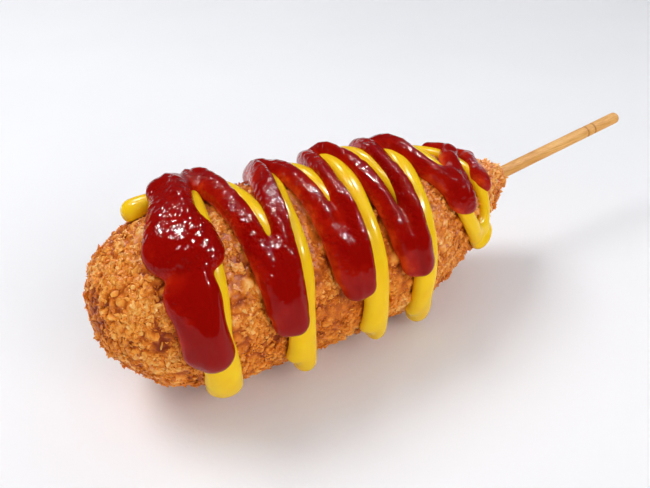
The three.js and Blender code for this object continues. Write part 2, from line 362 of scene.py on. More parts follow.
def arch_path(sauce, turn):
    """From one turn to the next: up a leg, round the loop behind the top, and down a leg."""
    start = sauce["turns"][turn] + sauce["leg_gap"]
    end = sauce["turns"][turn + 1] - sauce["leg_gap"]
    loop = sauce["loops"][turn]
    back = sauce["back_angle"][turn]
    shoulder = back + SHOULDER_DROP

    def leg(foot, reach, top, curve):
        low = reach - LEG_FOOT_RISE
        return [spot(foot + (top - foot) * share**curve, low + (shoulder - low) * share)
                for share in (0, 1 / 3, 2 / 3, 1)]

    half = sauce["loop_width"][turn] / 2
    up = leg(start, sauce["reach"][turn], loop - half, sauce["up_curve"][turn])
    down = leg(end, sauce["reach"][turn + 1], loop + half, sauce["down_curve"][turn])
    return spline([*up, spot(loop, back), *reversed(down)])


def make_bead(path, half_width, height):
    """A bead of sauce along a path. Half width and height are one number, or one for each end."""
    ends = [size if isinstance(size, tuple) else (size, size) for size in (half_width, height)]
    return dict(path=path, half_width=ends[0], height=ends[1])


def zigzag_beads(sauce):
    """A zigzag's pool in each turn, and the arch from it to the next turn."""
    beads = []
    for turn, (station, reach) in enumerate(zip(sauce["turns"], sauce["reach"])):
        pool_top = spot(station, reach - sauce["pool_length"][turn])
        pool = spline([pool_top, spot(station + sauce["drift"], reach)])
        height = (sauce["height"], sauce["pool_height"])
        beads.append(make_bead(pool, sauce["pool_half_width"][turn], height))
        if turn < len(sauce["loops"]):
            beads.append(make_bead(arch_path(sauce, turn), sauce["leg_half_width"], sauce["height"]))
    return beads


def mustard_beads():
    start = spot(TONGUE["from_station"], TONGUE["angle"])
    first_foot = spot(MUSTARD["turns"][0], MUSTARD["reach"][0] - MUSTARD["pool_length"][0])
    tail_loop = spline([spot(*knot) for knot in TAIL_LOOP["knots"]])
    tip = spot(TONGUE["to_station"], TONGUE["angle"])
    leg, height = MUSTARD["leg_half_width"], MUSTARD["height"]
    return zigzag_beads(MUSTARD) + [
        make_bead(spline([start, tip]), TONGUE["half_width"], (height, MUSTARD["pool_height"])),
        make_bead(spline([start, first_foot]), leg, height),
        make_bead(tail_loop, TAIL_LOOP["half_width"], height),
    ]


def ketchup_beads():
    heap = []
    for form in HEAP:
        path = spline([spot(*form["start"]), spot(*form["end"])])
        heap.append(make_bead(path, form["half_width"], form["height"]))
    return zigzag_beads(KETCHUP) + heap


# ---------------------------------------------------------------- sauce on the unrolled crust
# The grid's step, and how deep below the plain crust's surface the sauce is closed.
CELL = 0.45
SAUCE_SINK = 0.5
SQUEEZE_LIMIT = 0.2
PLACES_AT_ONCE = 20000
# A bead's shape is worked out this far beyond its half width, and further as the crust may be slim there.
FIELD_MARGIN = 3
FIELD_STRETCH = 1.6
FAR_OUTSIDE = -5.0
# A bead is widest at this share of its height. Below that it rounds in, more for a larger number.
CONTACT_SHARE = 0.22
CONTACT_ROUND = 0.37
# The unevenness of a bead: a share of its size, the length of the waves and their seed.
UNEVEN_WIDTH = (0.16, 9, 1)
UNEVEN_HEIGHT = (0.12, 13, 2)
# Long folds on a bead, packed closely across it and drawn out along it.
FOLD_SIZE = 6
FOLD_SEED = 3
FOLDS_ACROSS = 4
FOLDS_ALONG = 0.8
FOLD_REACH = 1.3
# Each bead takes its noise from a place of its own.
TRACKS_APART = 40
FOLDS_APART = 30
# The grid's room round the beads' middles, its first station, and its height in pool heights.
SHEET_MARGIN = 12
SHEET_START = 1.5
HEADROOM = 1.4
# How much the sauce below lifts this one, and how often its step is softened.
LIFT_SHARE = 0.5
LIFT_BLUR = 5
RELAX_ROUNDS = 4
# The angles between which small waves come up, in front and behind the top, and how strong they are
# beyond those. The noises are (strength, size, seed).
WAVES_FRONT = (74, 49)
WAVES_BACK = (-41, -19)
CALM_FRONT = 0.08
CALM_BACK = 0.12
WAVE_PATCHES = ((1.1, 6, 61),)
SMALL_WAVES = ((1, 2.1, 62), (0.5, 1.1, 63))


def squeezed(station):
    """How much shorter an arc is there than where the crust is widest."""
    return np.clip(crust_radius(station) / CRUST_RADIUS, SQUEEZE_LIMIT, 1)


def beside_path(places, path, squeeze):
    """How far places lie from a path, to which side of it, and how far along it."""
    step = np.linalg.norm(path[1] - path[0])
    heading = np.gradient(path, axis=0)
    nearest = np.empty(len(places), np.int64)
    for chunk in np.array_split(np.arange(len(places)), max(1, len(places) // PLACES_AT_ONCE)):
        gap = places[chunk, None, :] - path[None, :, :]
        gap[:, :, 1] *= squeeze[chunk, None]
        nearest[chunk] = np.argmin((gap**2).sum(-1), axis=1)
    gap = places - path[nearest]
    gap[:, 1] *= squeeze
    way = heading[nearest]
    way[:, 1] *= squeeze
    way /= np.linalg.norm(way, axis=1, keepdims=True)
    along = (gap * way).sum(1)
    side = gap[:, 0] * way[:, 1] - gap[:, 1] * way[:, 0]
    past_end = np.maximum(np.abs(along) - step / 2, 0)
    return np.hypot(side, past_end), side, nearest * step + along


def smooth_max(a, b, reach):
    """The larger of two, which blend where they differ by less than the reach."""
    near = np.maximum(reach - np.abs(a - b), 0) / reach
    return np.maximum(a, b) + near**2 * reach / 4


def slimness(station):
    """The share of its full size that sauce has there."""
    return THIN_SHARE + (1 - THIN_SHARE) * crust_radius(station) / CRUST_RADIUS


def without_caps(bead):
    """The middle line of a bead whose round ends reach as far as its path does."""
    path = bead["path"]
    step = np.linalg.norm(path[1] - path[0])
    caps = []
    for end, half_width in zip((path[0], path[-1]), bead["half_width"]):
        caps.append(int(half_width * slimness(end[0]) / squeezed(end[0]) / step))
    most = len(path) // 2 - 1
    first, last = (min(cap, most) for cap in caps)
    return path[first : len(path) - last]


def uneven(ends, share, track, waves):
    """A size that goes from one end's to the other's along a bead, with waves in it."""
    return np.interp(share, (0, 1), ends) * (1 + layered(track, [waves]))


def sauce_domes(beads, places, ridge):
    """For each bead: the places near it, how far each lies from its middle as a share of its half width,
    and its uneven half width and height there. ridge is the height of the long folds on it."""
    squeeze = squeezed(places[:, 0])
    slim = slimness(places[:, 0])
    domes = []
    for number, bead in enumerate(beads):
        path = without_caps(bead)
        reach = (max(bead["half_width"]) + FIELD_MARGIN) * FIELD_STRETCH
        low, high = path.min(0) - reach, path.max(0) + reach
        near = np.flatnonzero(((places > low) & (places < high)).all(1))
        gap, side, along = beside_path(places[near], path, squeeze[near])
        share = np.clip(along / (np.linalg.norm(path[1] - path[0]) * len(path)), 0, 1)
        track = np.stack([0 * along + TRACKS_APART * number, along, 0 * along], -1)
        width = slim[near] * uneven(bead["half_width"], share, track, UNEVEN_WIDTH)
        height = slim[near] * uneven(bead["height"], share, track, UNEVEN_HEIGHT)
        folds = np.stack([side * FOLDS_ACROSS, along * FOLDS_ALONG, 0 * side + FOLDS_APART * number], -1)
        fold = ridge * noise(folds, FOLD_SIZE, FOLD_SEED)
        height = height + fold * np.clip(FOLD_REACH - gap / width, 0, 1)
        domes.append((near, gap / width, width, height))
    return domes


def top_height(domes, count):
    """The height of the sauce's top over each place, 0 where there is none."""
    top = np.zeros(count)
    for near, share, _, height in domes:
        dome = height * np.sqrt(np.clip(1 - share**2, 0, 1))
        top[near] = np.maximum(top[near], dome)
    return top


def blur(grid, rounds):
    for _ in range(rounds):
        for axis in (0, 1):
            grid = (np.roll(grid, 1, axis) + 2 * grid + np.roll(grid, -1, axis)) / 4
    return grid


def sauce_field(domes, heights, lift, blend):
    """How far inside the sauce each place is at each height, and less than 0 where it is outside."""
    field = np.full((len(lift), len(heights)), FAR_OUTSIDE, np.float32)
    for near, share, width, height in domes:
        middle = (CONTACT_SHARE * height)[:, None]
        above = heights[None, :] - lift[near, None] - middle
        up = above / (height[:, None] - middle)
        down = np.maximum(above, -middle) / (middle / CONTACT_ROUND)
        tall = np.where(above > 0, up, down)
        size = np.minimum(width, height)[:, None]
        value = (1 - np.sqrt(share[:, None] ** 2 + tall**2)) * size
        field[near] = smooth_max(field[near], value, blend)
    return np.minimum(field, heights[None, :] + SAUCE_SINK)


def wrinkling(points, degrees):
    """Where a sauce has small waves: not low on the flank or behind the top, and elsewhere in patches."""
    not_low = np.maximum(rise(degrees, *WAVES_FRONT), CALM_FRONT)
    not_behind = np.maximum(rise(degrees, *WAVES_BACK), CALM_BACK)
    patches = np.clip(1 + layered(points, WAVE_PATCHES), 0.15, 1.2)
    return not_low * not_behind * patches


def sauce_piece(slot, sauce, beads, material, ridge, blend, wrinkle, below=()):
    """A sauce as one closed mesh. blend is how far its beads melt into each other, wrinkle is the height
    of the small waves on its upper side, and below has the beads of the sauce that it lies on."""
    paths = np.concatenate([bead["path"] for bead in beads])
    low, high = paths.min(0) - SHEET_MARGIN, paths.max(0) + SHEET_MARGIN
    stations = np.arange(max(low[0], SHEET_START), min(high[0], CRUST_LENGTH), CELL)
    arcs = np.arange(low[1], high[1], CELL)
    grid = np.stack(np.meshgrid(stations, arcs, indexing="ij"), -1)
    places = grid.reshape(-1, 2)
    under = top_height(sauce_domes(below, places, ridge=0), len(places))
    lift = LIFT_SHARE * blur(under.reshape(grid.shape[:2]), LIFT_BLUR).ravel()
    tallest = sauce["pool_height"] * HEADROOM + lift.max()
    heights = np.arange(-SAUCE_SINK - CELL, tallest + CELL, CELL)
    field = sauce_field(sauce_domes(beads, places, ridge), heights, lift, blend)
    points, faces = surface_net(field.reshape(*grid.shape[:2], len(heights)))
    faces = faces[:, ::-1]  # unrolling mirrors the crust, so the faces are turned back
    points = relax(points, faces, RELAX_ROUNDS)
    station = stations[0] + points[:, 0] * CELL
    angle = (arcs[0] + points[:, 1] * CELL) / CRUST_RADIUS
    height = heights[0] + points[:, 2] * CELL
    normal = surface_normal(station, angle)
    world = surface_point(station, angle) + normal * height[:, None]
    depth = np.clip(height / sauce["height"], 0, 1.5)
    wrinkled = wrinkling(world, np.degrees(angle))
    upper = rise(depth, 1 / 3, 1)
    world += normal * (wrinkle * wrinkled * layered(world, SMALL_WAVES) * upper)[:, None]
    world[:, 2] = np.maximum(world[:, 2], 0)
    attributes = [("depth", depth), ("wrinkled", wrinkled)]
    return make_mesh(f"{slot}_sauce", world, faces, material, attributes)


# ---------------------------------------------------------------- materials
SOCKETS = dict(
    roughness="Roughness",
    specular="Specular IOR Level",
    coat="Coat Weight",
    coat_roughness="Coat Roughness",
    subsurface="Subsurface Weight",
    subsurface_radius="Subsurface Radius",
    subsurface_scale="Subsurface Scale",
)


def new_material(name, **settings):
    """A material, its node tree and its shader, whose own sockets get the settings."""
    material = bpy.data.materials.new(name)
    material.use_nodes = True
    tree = material.node_tree
    shader = tree.nodes["Principled BSDF"]
    for socket, value in settings.items():
        shader.inputs[SOCKETS[socket]].default_value = value
    return material, tree, shader


def add_node(tree, kind, inputs=(), **settings):
    node = tree.nodes.new(kind)
    for key, value in settings.items():
        setattr(node, key, value)
    for key, value in dict(inputs).items():
        if isinstance(value, bpy.types.NodeSocket):
            tree.links.new(value, node.inputs[key])
        else:
            node.inputs[key].default_value = value
    return node


def paint(tree, shader, factor, stops):
    """The shader's base colour from a ramp with (place, colour) stops."""
    node = add_node(tree, "ShaderNodeValToRGB", {"Fac": factor})
    elements = node.color_ramp.elements
    while len(elements) < len(stops):
        elements.new(0.5)
    for element, (place, colour) in zip(elements, stops):
        element.position = place
        element.color = (*colour, 1)
    tree.links.new(node.outputs["Color"], shader.inputs["Base Color"])


def noise_value(tree, coords, scale, detail, rough):
    inputs = {"Vector": coords, "Scale": scale, "Detail": detail, "Roughness": rough}
    return add_node(tree, "ShaderNodeTexNoise", inputs).outputs["Fac"]


def bump(tree, shader, height, distance, strength):
    node = add_node(tree, "ShaderNodeBump", {"Height": height, "Distance": distance, "Strength": strength})
    tree.links.new(node.outputs["Normal"], shader.inputs["Normal"])


def attribute(tree, name):
    return add_node(tree, "ShaderNodeAttribute", attribute_name=name).outputs["Fac"]


def object_coords(tree):
    return add_node(tree, "ShaderNodeTexCoord").outputs["Object"]


def math_node(tree, operation, *values):
    return add_node(tree, "ShaderNodeMath", dict(enumerate(values)), operation=operation).outputs[0]


def crust_material():
    material, tree, shader = new_material(
        "fried_crumb", roughness=0.34, specular=0.2,
        subsurface=0.05, subsurface_radius=(1.0, 0.5, 0.2), subsurface_scale=0.0008,
    )
    coords = object_coords(tree)
    # The tone attribute holds the frying tones and also painted shade: darker in the coat's hollows and on
    # the crumbs' corners near the coat.
    tone = attribute(tree, "tone")
    grain = noise_value(tree, coords, scale=1400, detail=4, rough=0.6)
    shade = math_node(tree, "MULTIPLY_ADD", math_node(tree, "SUBTRACT", grain, 0.5), 0.4, tone)
    paint(tree, shader, shade, [
        (0.0, (0.27, 0.033, 0.002)),
        (0.3, (0.57, 0.125, 0.007)),
        (0.55, (0.80, 0.24, 0.020)),
        (0.8, (0.92, 0.38, 0.055)),
        (1.0, (0.97, 0.55, 0.16)),
    ])
    relief = noise_value(tree, coords, scale=2600, detail=3, rough=0.65)
    bump(tree, shader, relief, distance=0.0002, strength=0.7)
    return material


def mustard_material():
    material, tree, shader = new_material(
        "mustard", roughness=0.22, specular=0.12, coat=0.02, coat_roughness=0.08,
        subsurface=0.2, subsurface_radius=(1.0, 0.7, 0.15), subsurface_scale=0.002,
    )
    coords = object_coords(tree)
    paint(tree, shader, noise_value(tree, coords, scale=160, detail=3, rough=0.5), [
        (0.3, (0.90, 0.53, 0.006)),
        (0.7, (0.94, 0.61, 0.010)),
    ])
    relief = noise_value(tree, coords, scale=500, detail=2, rough=0.5)
    bump(tree, shader, relief, distance=0.0001, strength=0.35)
    return material


def ketchup_material():
    """Darker where it is deep, with clouds in it, and small bumps where the mesh has its waves."""
    material, tree, shader = new_material(
        "ketchup", roughness=0.05, specular=0.14,
        subsurface=0.08, subsurface_radius=(1.0, 0.12, 0.05), subsurface_scale=0.0015,
    )
    coords = object_coords(tree)
    shade = attribute(tree, "depth")
    for scale, share in ((190, 1.4), (70, 1.8)):
        cloud = noise_value(tree, coords, scale, detail=3, rough=0.6)
        shade = math_node(tree, "MULTIPLY_ADD", math_node(tree, "SUBTRACT", cloud, 0.5), share, shade)
    paint(tree, shader, shade, [
        (0.0, (0.66, 0.055, 0.006)),
        (0.45, (0.40, 0.008, 0.0012)),
        (1.0, (0.28, 0.0020, 0.0006)),
    ])
    relief = noise_value(tree, coords, scale=700, detail=1, rough=0.35)
    bump(tree, shader, relief, distance=0.0005, strength=attribute(tree, "wrinkled"))
    return material


def stick_material():
    material, tree, shader = new_material("bamboo", roughness=0.5, specular=0.1)
    coords = object_coords(tree)
    stretched = add_node(tree, "ShaderNodeMapping", {"Vector": coords, "Scale": (0.03, 1, 1)}).outputs[0]
    fibre = noise_value(tree, stretched, scale=2600, detail=4, rough=0.6)
    patch = noise_value(tree, coords, scale=45, detail=2, rough=0.5)
    mixed = math_node(tree, "MULTIPLY_ADD", fibre, 0.6, math_node(tree, "MULTIPLY", patch, 0.4))
    grooved = math_node(tree, "SUBTRACT", mixed, attribute(tree, "groove"))
    paint(tree, shader, grooved, [
        (0.0, (0.30, 0.13, 0.035)),
        (0.38, (0.62, 0.27, 0.055)),
        (0.52, (0.78, 0.40, 0.11)),
        (0.68, (0.88, 0.52, 0.18)),
    ])
    bump(tree, shader, fibre, distance=0.0001, strength=0.5)
    return material


def floor_material():
    material, tree, shader = new_material("paper_floor", roughness=0.9, specular=0.1)
    coords = object_coords(tree)
    paint(tree, shader, noise_value(tree, coords, scale=6, detail=3, rough=0.5), [
        (0.3, (0.90, 0.90, 0.92)),
        (0.7, (0.93, 0.93, 0.95)),
    ])
    relief = noise_value(tree, coords, scale=900, detail=3, rough=0.6)
    bump(tree, shader, relief, distance=0.0002, strength=0.4)
    return material


# ---------------------------------------------------------------- the crust
CRUST_STEP = 0.62
CRUST_SIDES = 270
NOSE_TIP = -0.3
TAIL_TIP = CRUST_LENGTH - 0.5
# Clumps of two sizes, which slope down to their edges. WARP bends the lines between them.
CLUMP_SIZE = 4
CLUMP_HEIGHT = 1.9
CLUMP_SEED = 40
FINE_CLUMP_SIZE = 1.5
FINE_CLUMP_HEIGHT = 0.6
FINE_CLUMP_SEED = 50
EDGE_WIDTH = 0.5
WARP_BY = 0.9
WARP_SIZE = 2.4
WARP_SEEDS = (14, 15, 16)
# Noises as (strength, size, seed).
RUMPLE = ((0.4, 6, 11), (0.25, 2.2, 12))
WILD_PATCHES = ((2.5, 8, 26),)
FRYING_TONES = ((0.17, 12, 21), (0.15, 4.5, 22))
SCORCHED_SPOTS = ((1, 5, 24),)
# The coat starts this deep in the plain crust, so that its crags come out at the plain crust's size.
BASE_SINK = 1.5
# A coat of middle height has the middle tone. This is painted shade and light: the coat's hollows are
# painted darker and what stands out is painted paler, by this much for each millimetre of height.
COAT_MIDDLE = 0.7
TONE_MIDDLE = 0.48
PAINTED_SHADE_BY_HEIGHT = 0.7


def coarseness(wild):
    """How much taller the crumb coat is where it is wild than where it is even."""
    return 0.6 + 0.6 * wild


def coat_height(points, wild):
    """How far the crumb coat stands off the plain crust: clumps, with finer clumps on them."""
    warped = points + WARP_BY * np.stack([noise(points, WARP_SIZE, seed) for seed in WARP_SEEDS], -1)
    near, far = clumps(warped, CLUMP_SIZE, CLUMP_SEED)
    fine_near, fine_far = clumps(warped, FINE_CLUMP_SIZE, FINE_CLUMP_SEED)
    crags = CLUMP_HEIGHT * np.minimum(far - near, EDGE_WIDTH)
    crags += FINE_CLUMP_HEIGHT * np.minimum(fine_far - fine_near, EDGE_WIDTH)
    crags += layered(points, RUMPLE)
    sink = BASE_SINK * (1 - 0.5 * rise(points[:, 0], 120, 145))
    return crags * coarseness(wild) - sink


def crumb_wildness(station, angle):
    """From 0 where the coat is even to 1 and more where the crumbs stand wild: at the nose, low down, at
    the neck and in patches."""
    from_top = np.abs((np.degrees(angle) + 180) % 360 - 180)
    nose = 0.7 * np.clip(1.15 - station / 45, 0, 1)
    neck = rise(station, 90, 125) + 0.5 * rise(station, 130, 145)
    low = rise(from_top, 85, 145)
    patches = np.clip(layered(surface_point(station, angle), WILD_PATCHES), 0, 1)
    return np.max([nose, neck, low, patches], axis=0)


def warmth(points):
    """Paler and darker patches in the tone of the frying, with a few scorched spots and a paler tail."""
    scorched = np.clip(layered(points, SCORCHED_SPOTS) - 0.35, 0, 1)
    tail = rise(points[:, 0], 100, 130)
    return layered(points, FRYING_TONES) - 0.65 * scorched + 0.1 * tail


def crust_piece(material):
    """The crumb coat as one closed mesh, with its rings evenly spaced along the crust's outline."""
    samples = 4000
    fine = np.linspace(0, CRUST_LENGTH, samples)
    outline = np.hypot(np.gradient(fine), np.gradient(crust_radius(fine)))
    lengths = np.concatenate([[0], np.cumsum(outline[1:])])
    rings = int(lengths[-1] / CRUST_STEP)
    station = np.interp(np.linspace(CRUST_STEP, lengths[-1], rings), lengths, fine)
    angle = np.linspace(0, 2 * math.pi, CRUST_SIDES, endpoint=False)
    stations, angles = (grid.ravel() for grid in np.meshgrid(station, angle, indexing="ij"))
    points = surface_point(stations, angles)
    wild = crumb_wildness(stations, angles)
    height = coat_height(points, wild)
    points = points + surface_normal(stations, angles) * height[:, None]
    nose = [[NOSE_TIP, 0, float(centre_height(0))]]
    tail = [[TAIL_TIP, 0, float(centre_height(CRUST_LENGTH))]]
    points = np.concatenate([nose, points, tail])
    points[:, 2] = np.maximum(points[:, 2], 0)
    # Painted shade and light: the tone is darker in the coat's hollows and paler where the coat stands out,
    # on top of the frying tones from warmth.
    above = height + BASE_SINK - COAT_MIDDLE * coarseness(wild)
    tone = TONE_MIDDLE + PAINTED_SHADE_BY_HEIGHT * np.concatenate([[0], above, [0]]) + warmth(points)
    faces = ring_faces(rings, CRUST_SIDES)
    return make_mesh("crust_coat", points, faces, material, [("tone", tone)])


# ---------------------------------------------------------------- loose crumbs
def lens(sides):
    """A flake: a flat round form with a thin edge, to be made ragged."""
    turn = np.arange(sides) * 2 * math.pi / sides
    rim = np.stack([np.cos(turn), np.sin(turn), 0 * turn], -1)
    points = np.concatenate([[[0, 0, 1]], rim, [[0, 0, -1]]])
    side = np.arange(sides)
    after = (side + 1) % sides
    top = np.stack([0 * side, 1 + side, 1 + after], -1)
    bottom = np.stack([sides + 1 + 0 * side, 1 + after, 1 + side], -1)
    return points, np.concatenate([top, bottom])


def octahedron():
    points = np.array([[1, 0, 0], [-1, 0, 0], [0, 1, 0], [0, -1, 0], [0, 0, 1], [0, 0, -1]], float)
    faces = [[0, 2, 4], [2, 1, 4], [1, 3, 4], [3, 0, 4], [2, 0, 5], [1, 2, 5], [3, 1, 5], [0, 3, 5]]
    return points, np.array(faces)


def nugget():
    """A lump of crumb: two rings of five points and a tip at each end, to be made ragged."""
    sides, radius, height = 5, 0.89, 0.45
    turn = np.arange(sides) * 2 * math.pi / sides
    low, high = (
        np.stack([radius * np.cos(turn + shift), radius * np.sin(turn + shift), 0 * turn + level], -1)
        for shift, level in ((0, -height), (math.pi / sides, height))
    )
    points = np.concatenate([[[0, 0, -1]], low, high, [[0, 0, 1]]])
    lower = 1 + np.arange(sides)
    after = 1 + (np.arange(sides) + 1) % sides
    last = 1 + 2 * sides
    faces = [
        np.stack([0 * lower, after, lower], -1),
        np.stack([lower, after, lower + sides], -1),
        np.stack([after, after + sides, lower + sides], -1),
        np.stack([last + 0 * lower, lower + sides, after + sides], -1),
    ]
    return points, np.concatenate(faces)


# The kinds of crumb.
#   size     from what to what the length, the width and the thickness go
#   bias     how much they gather where the coat is wild, from 0 to 1
#   cluster  how far they keep to patches with bare crust between, from 0 to 1
#   tilt     from what to what they lean, in degrees
#   ragged   the spread of the corners' random moves, as a share of half the size
#   pale     their place on the crust's colour ramp
CRUMB_KINDS = (
    dict(
        name="crumb_grains", seed=1, count=20000, form=octahedron(),
        size=((0.5, 1.1), (0.4, 0.9), (0.4, 0.8)),
        bias=0.1, cluster=0.8, tilt=(-20, 30), ragged=0.22, pale=0.5,
    ),
    dict(
        name="crumb_lumps", seed=2, count=9000, form=nugget(),
        size=((0.8, 2.4), (0.6, 1.7), (0.6, 1.3)),
        bias=0.55, cluster=0.9, tilt=(-20, 30), ragged=0.2, pale=0.55,
    ),
    dict(
        name="crumb_flakes", seed=3, count=9000, form=lens(7),
        size=((1.0, 2.2), (0.8, 1.7), (0.4, 0.8)),
        bias=0.7, cluster=0.9, tilt=(-10, 35), ragged=0.18, pale=0.6,
    ),
    dict(
        name="crumb_shreds", seed=4, count=6000, form=octahedron(),
        size=((0.9, 2.0), (0.3, 0.6), (0.3, 0.5)),
        bias=0.8, cluster=0.9, tilt=(0, 50), ragged=0.15, pale=0.6,
    ),
)
TRIES_PER_CRUMB = 12
FIRST_CRUMB = 0.3
STEEPEST = 3
CRUMB_PATCHES = ((1.8, 5, 25),)
# Shares of half a crumb's thickness and length: how deep it sits, and how much a leaning one is raised.
CRUMB_SINK = 0.1
LEAN_RAISE = 0.3
BEND_SPREAD = 0.25
TONE_SPREAD = 0.12
# Painted shade and light: a crumb's corners are painted darker where they meet the coat and paler as they
# stand off it, by this much for each millimetre.
PAINTED_SHADE_BY_STANDOFF = 0.22
# A crumb is clear of a bead from this share of the bead's half width.
CLEAR_SHARE = 0.93


def crumb_places(rng, count, covered, bias, cluster):
    """Random stations and angles, even over the crust, thicker where it is wild, and clear of sauce."""
    tries = count * TRIES_PER_CRUMB
    station = rng.uniform(FIRST_CRUMB, CRUST_LENGTH, tries)
    angle = rng.uniform(0, 2 * math.pi, tries)
    along = np.linspace(0, CRUST_LENGTH, 600)
    slope = np.interp(station, along, np.gradient(crust_radius(along), along))
    area = crust_radius(station) / CRUST_RADIUS * np.sqrt(1 + np.clip(slope, -STEEPEST, STEEPEST) ** 2)
    wanted = area * (1 - bias + bias * crumb_wildness(station, angle)) / 2
    patch = np.clip(0.5 + layered(surface_point(station, angle), CRUMB_PATCHES), 0, 1)
    wanted = wanted * (1 - cluster + cluster * patch)
    keep = rng.uniform(0, 1, tries) < wanted
    station, angle = station[keep], angle[keep]
    clear = ~covered(station, angle)
    return station[clear][:count], angle[clear][:count]


def crumb_axes(rng, normal, wild, tilt):
    """Each crumb's long, wide and thick direction, turned and tilted at random, and its lean."""
    count = len(normal)
    yaw = rng.uniform(0, 2 * math.pi, count)[:, None]
    flat = np.cross(normal, [1.0, 0.0, 0.0])
    flat /= np.linalg.norm(flat, axis=1, keepdims=True) + 1e-9
    ahead = flat * np.cos(yaw) + np.cross(normal, flat) * np.sin(yaw)
    lean = (np.radians(rng.uniform(*tilt, count)) * (0.5 + 0.5 * wild))[:, None]
    long = ahead * np.cos(lean) + normal * np.sin(lean)
    thick = normal * np.cos(lean) - ahead * np.sin(lean)
    return long, np.cross(thick, long), thick, lean[:, 0]


def crumbs(name, seed, count, form, size, bias, cluster, tilt, ragged, pale, covered, material):
    """One kind of crumb: many small closed forms, as one mesh."""
    rng = np.random.default_rng(seed)
    station, angle = crumb_places(rng, count, covered, bias, cluster)
    count = len(station)
    shape, faces = form
    wild = crumb_wildness(station, angle)
    base = surface_point(station, angle)
    normal = surface_normal(station, angle)
    rough = coat_height(base, wild)
    long, wide, thick, lean = crumb_axes(rng, normal, wild, tilt)
    scale = np.stack([rng.uniform(low, high, count) for low, high in size], -1) / 2
    scale *= (0.8 + 0.3 * wild)[:, None]
    local = (shape + rng.normal(0, ragged, (count, *shape.shape))) * scale[:, None, :]
    bend = rng.normal(0, BEND_SPREAD, count)[:, None]
    local[:, :, 2] += bend * local[:, :, 0] ** 2 / (scale[:, :1] + 1e-6)
    turned = local @ np.stack([long, wide, thick], 1)
    raised = rough - CRUMB_SINK * scale[:, 2] + LEAN_RAISE * scale[:, 0] * np.sin(np.abs(lean))
    points = base[:, None, :] + (normal * raised[:, None])[:, None, :] + turned
    above = ((points - base[:, None, :]) * normal[:, None, :]).sum(-1) - rough[:, None]
    points[:, :, 2] = np.maximum(points[:, :, 2], 0)
    tone = pale + warmth(base) + rng.normal(0, TONE_SPREAD, count)
    # Painted shade: each corner is darker the nearer it lies to the coat, and paler the further it stands
    # off.
    shaded_tones = tone[:, None] + PAINTED_SHADE_BY_STANDOFF * above
    offsets = np.arange(count)[:, None, None] * len(shape)
    all_faces = (faces + offsets).reshape(-1, 3)
    attributes = [("tone", shaded_tones.ravel())]
    return make_mesh(name, points.reshape(-1, 3), all_faces, material, attributes, smooth=False)


def sauce_cover():
    """A test of whether a place on the crust is under sauce."""
    beads = mustard_beads() + ketchup_beads()

    def covered(station, angle):
        arc = ((angle + math.pi) % (2 * math.pi) - math.pi) * CRUST_RADIUS
        places = np.stack([station, arc], -1)
        hit = np.zeros(len(places), bool)
        for near, share, _, _ in sauce_domes(beads, places, ridge=0):
            hit[near] |= share < CLEAR_SHARE
        return hit

    return covered


# ---------------------------------------------------------------- the stick
STICK_SIDES = 64
ROD_RINGS = 150
GROOVE_RINGS = 13
DOME_RINGS = 10
DOME_LAST_TURN = 1.5
GROOVE_SHARPNESS = 2.4
GROOVE_DARKNESS = 0.3
# The rod's slight unevenness, drawn out along it.
WEAR = 0.012
WEAR_SIZE = 1.3
WEAR_SEED = 31
WEAR_ALONG = 0.15
WEAR_ROUND = 2


def stick_piece(material):
    """The stick along X with its grooves and its round end, then tilted to the stick's slope."""
    across_groove = GROOVE_WIDTH * np.linspace(-1, 1, GROOVE_RINGS)
    along = np.unique(np.concatenate([
        np.linspace(0.2, STICK_LENGTH - DOME_HEIGHT, ROD_RINGS),
        *[STICK_LENGTH - place + across_groove for place in GROOVES_FROM_END],
        STICK_LENGTH - DOME_HEIGHT * (1 - np.sin(np.linspace(0, DOME_LAST_TURN, DOME_RINGS))),
    ]))
    from_end = STICK_LENGTH - along
    dome = np.clip(1 - from_end / DOME_HEIGHT, 0, 1)
    slope_width = GROOVE_WIDTH / GROOVE_SHARPNESS
    groove = sum(np.exp(-(((from_end - place) / slope_width) ** 2)) for place in GROOVES_FROM_END)
    radius = STICK_RADIUS * np.sqrt(1 - dome**2) - GROOVE_DEPTH * groove
    angle = np.arange(STICK_SIDES) * 2 * math.pi / STICK_SIDES
    distance, turn = (grid.ravel() for grid in np.meshgrid(along, angle, indexing="ij"))
    ring = np.repeat(radius, STICK_SIDES)
    wear = np.stack([distance * WEAR_ALONG, np.cos(turn) * WEAR_ROUND, np.sin(turn) * WEAR_ROUND], -1)
    ring = ring * (1 + WEAR * noise(wear, WEAR_SIZE, WEAR_SEED))
    local = np.stack([distance, ring * np.cos(turn), ring * np.sin(turn)], -1)
    local = np.concatenate([[[0, 0, 0]], local, [[STICK_LENGTH, 0, 0]]])
    local[:, 0] += STICK_SHOWN - STICK_LENGTH
    cosine, sine = math.cos(STICK_SLOPE), math.sin(STICK_SLOPE)
    points = np.stack([
        CRUST_LENGTH + cosine * local[:, 0] - sine * local[:, 2],
        local[:, 1],
        centre_height(CRUST_LENGTH) + sine * local[:, 0] + cosine * local[:, 2],
    ], -1)
    dark = GROOVE_DARKNESS * np.repeat(np.clip(groove, 0, 1), STICK_SIDES)
    dark = np.concatenate([[0], dark, [0]])
    faces = ring_faces(len(along), STICK_SIDES)
    return make_mesh("bamboo_stick", points, faces, material, [("groove", dark)])


# ---------------------------------------------------------------- camera, light and floor, in metres
CAMERA_AZIMUTH = math.radians(-34.5)
CAMERA_ELEVATION = math.radians(32.5)
CAMERA_DISTANCE = 0.22
CAMERA_LENS = 38.8
CAMERA_AIM_OFFSET = Vector((-0.0015, 0, 0.001))
LAMP_WIDTH = 0.04
LAMP_TARGET = (0, 0, 0.03)
